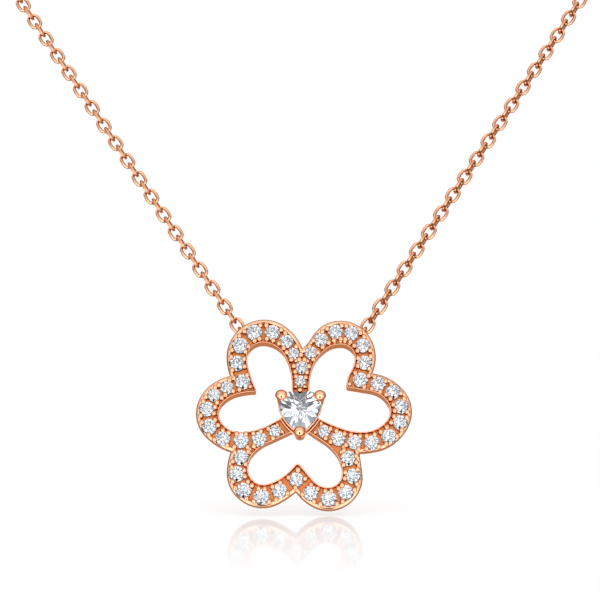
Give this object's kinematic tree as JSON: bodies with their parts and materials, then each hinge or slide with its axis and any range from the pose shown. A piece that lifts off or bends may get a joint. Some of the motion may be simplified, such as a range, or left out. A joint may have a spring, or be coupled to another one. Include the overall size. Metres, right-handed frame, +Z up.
{
  "type": "pendant necklace",
  "caption": "Rose gold necklace in its worn form: a clover of three open hearts paved with small diamonds round a heart-cut diamond, on a fine cable chain.",
  "frame": {"origin": "where the chain rests on the nape, at the middle of the clasp ring", "axes": "+X to the right as the pendant is seen from the front, +Y from the pendant back to the nape, +Z up; the pendant's front faces -Y and leans back by 15 degrees"},
  "size_m": [0.1186, 0.1026, 0.1393],
  "materials": {
    "metal": "polished rose gold",
    "stone": "polished cut diamond"
  },
  "bodies": {
    "necklace": {"end_link_left": "metal", "end_link_right": "metal", "chain_left": "metal", "chain_right": "metal", "clasp": "metal"},
    "pendant": {"clover_frame": "metal", "pave_stones": "stone", "heart_stone": "stone"}
  },
  "joints": [
    {"name": "pendant_swing", "type": "hinge", "parent": "necklace", "child": "pendant", "pos_m": [0, -0.096, -0.124], "axis": [1, 0, 0], "range_deg": [-50, 0]}
  ]
}
